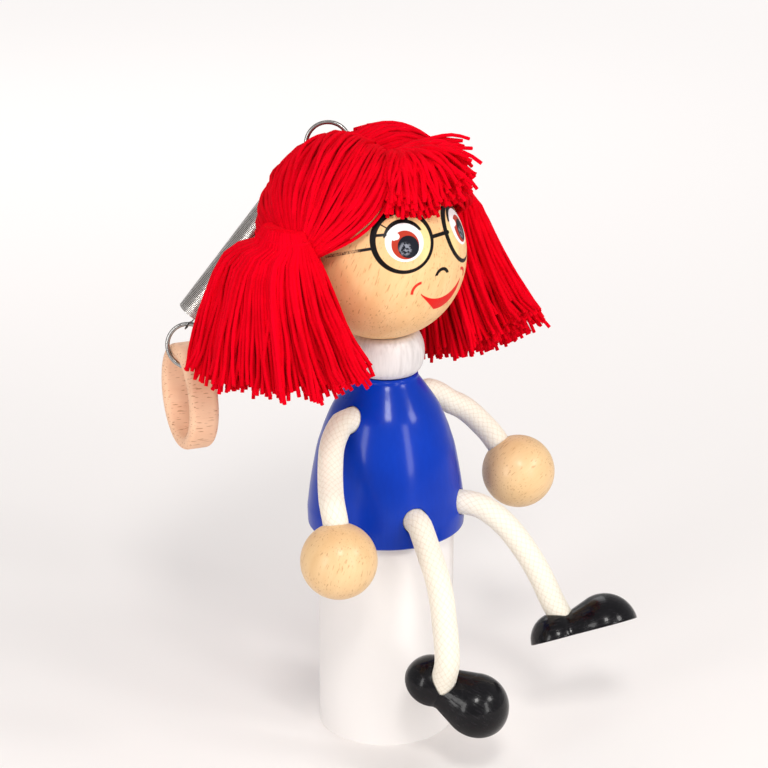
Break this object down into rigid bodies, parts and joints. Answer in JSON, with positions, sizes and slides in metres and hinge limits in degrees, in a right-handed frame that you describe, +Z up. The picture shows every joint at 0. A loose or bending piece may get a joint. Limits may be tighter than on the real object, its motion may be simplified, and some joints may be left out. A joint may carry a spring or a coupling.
{
  "type": "bouncing spring puppet",
  "caption": "Turned wooden girl doll with rope limbs, yarn pigtails and painted glasses that bounces on a coil spring under a wooden ring.",
  "frame": {"origin": "middle of the flat base of the blue body, the face that rests on the shelf; the legs hang below it", "axes": "+Z up through the neck and the crown, -Y the way the face looks, +X the doll's left"},
  "size_m": [0.137, 0.1536, 0.197],
  "materials": {
    "blue_paint": "gloss blue paint on turned wood",
    "white_paint": "satin white paint, faint grain",
    "beech": "clear satin varnish; the head's face is painted",
    "pale_beech": "bare sanded beech with flecks",
    "black_paint": "gloss black paint, grain shows",
    "cotton_rope": "fine braided ecru cotton",
    "red_yarn": "fluffy red yarn",
    "steel": "bright nickelled spring steel"
  },
  "bodies": {
    "figure": {"body": "blue_paint", "collar": "white_paint", "neck_dowel": "beech", "head": "beech", "screw_eye": "steel", "right_hair": "red_yarn", "left_hair": "red_yarn", "fringe": "red_yarn", "right_pigtail": "red_yarn", "left_pigtail": "red_yarn", "right_hair_tie": "red_yarn", "left_hair_tie": "red_yarn"},
    "top_link": {"top_split_ring": "steel"},
    "coil": {"spring": "steel"},
    "lower_link": {"lower_split_ring": "steel"},
    "handle": {"wooden_ring": "pale_beech"},
    "right_arm": {"right_arm_rope": "cotton_rope"},
    "right_hand_ball": {"right_hand": "beech"},
    "left_arm": {"left_arm_rope": "cotton_rope"},
    "left_hand_ball": {"left_hand": "beech"},
    "right_leg": {"right_leg_rope": "cotton_rope"},
    "right_foot": {"right_shoe": "black_paint"},
    "left_leg": {"left_leg_rope": "cotton_rope"},
    "left_foot": {"left_shoe": "black_paint"}
  },
  "joints": [
    {"name": "spring_lift", "type": "hinge", "parent": "figure", "child": "top_link", "pos_m": [-0.00055, 0.02563, 0.12952], "axis": [0.8184, 0.5438, -0.1857], "range_deg": [0, 130]},
    {"name": "spring_stretch", "type": "slide", "parent": "top_link", "child": "coil", "axis": [-0.451, 0.4077, -0.7939], "range_m": [0, 0.1], "stiffness_N_per_m": 25, "springref_m": -0.02, "deforming": ["spring"]},
    {"name": "lower_ring_swing", "type": "hinge", "parent": "coil", "child": "lower_link", "pos_m": [-0.03611, 0.05803, 0.0677], "axis": [0.8184, 0.5438, -0.1857], "range_deg": [-10, 45]},
    {"name": "handle_swing", "type": "hinge", "parent": "lower_link", "child": "handle", "pos_m": [-0.03727, 0.05726, 0.06033], "axis": [0.8184, 0.5438, -0.1857], "range_deg": [-15, 60]},
    {"name": "right_arm_swing", "type": "hinge", "parent": "figure", "child": "right_arm", "pos_m": [-0.0197, 0, 0.042], "axis": [1, 0, 0], "range_deg": [-40, 40], "stiffness_Nm_per_rad": 0.05, "springref_deg": -1.28},
    {"name": "right_elbow_bend", "type": "hinge", "parent": "right_arm", "child": "right_hand_ball", "pos_m": [-0.0346, -0.0063, 0.031], "axis": [0.7706, -0.6374, 0], "range_deg": [-40, 10], "stiffness_Nm_per_rad": 0.05, "springref_deg": -1.11, "deforming": ["right_arm_rope"]},
    {"name": "left_arm_swing", "type": "hinge", "parent": "figure", "child": "left_arm", "pos_m": [0.0197, 0, 0.042], "axis": [1, 0, 0], "range_deg": [-40, 40], "stiffness_Nm_per_rad": 0.05, "springref_deg": -1.4},
    {"name": "left_elbow_bend", "type": "hinge", "parent": "left_arm", "child": "left_hand_ball", "pos_m": [0.0333, -0.0054, 0.0343], "axis": [0.9225, 0.3859, 0], "range_deg": [-30, 10], "stiffness_Nm_per_rad": 0.05, "springref_deg": -1.13, "deforming": ["left_arm_rope"]},
    {"name": "right_leg_swing", "type": "hinge", "parent": "figure", "child": "right_leg", "pos_m": [-0.01188, -0.02436, 0.01], "axis": [-0.4384, -0.8988, 0], "range_deg": [-30, 5], "stiffness_Nm_per_rad": 0.05, "springref_deg": 0.19},
    {"name": "right_knee_bend", "type": "hinge", "parent": "right_leg", "child": "right_foot", "pos_m": [-0.0197, -0.0404, -0.0026], "axis": [0.8988, -0.4384, 0], "range_deg": [-75, 20], "stiffness_Nm_per_rad": 0.05, "springref_deg": -0.25, "deforming": ["right_leg_rope"]},
    {"name": "left_leg_swing", "type": "hinge", "parent": "figure", "child": "left_leg", "pos_m": [0.01188, -0.02436, 0.01], "axis": [0.4384, -0.8988, 0], "range_deg": [-5, 30], "stiffness_Nm_per_rad": 0.05, "springref_deg": 0.05},
    {"name": "left_knee_bend", "type": "hinge", "parent": "left_leg", "child": "left_foot", "pos_m": [0.0196, -0.0403, 0.0004], "axis": [0.8988, 0.4384, 0], "range_deg": [-75, 20], "stiffness_Nm_per_rad": 0.05, "springref_deg": -0.76, "deforming": ["left_leg_rope"]}
  ]
}
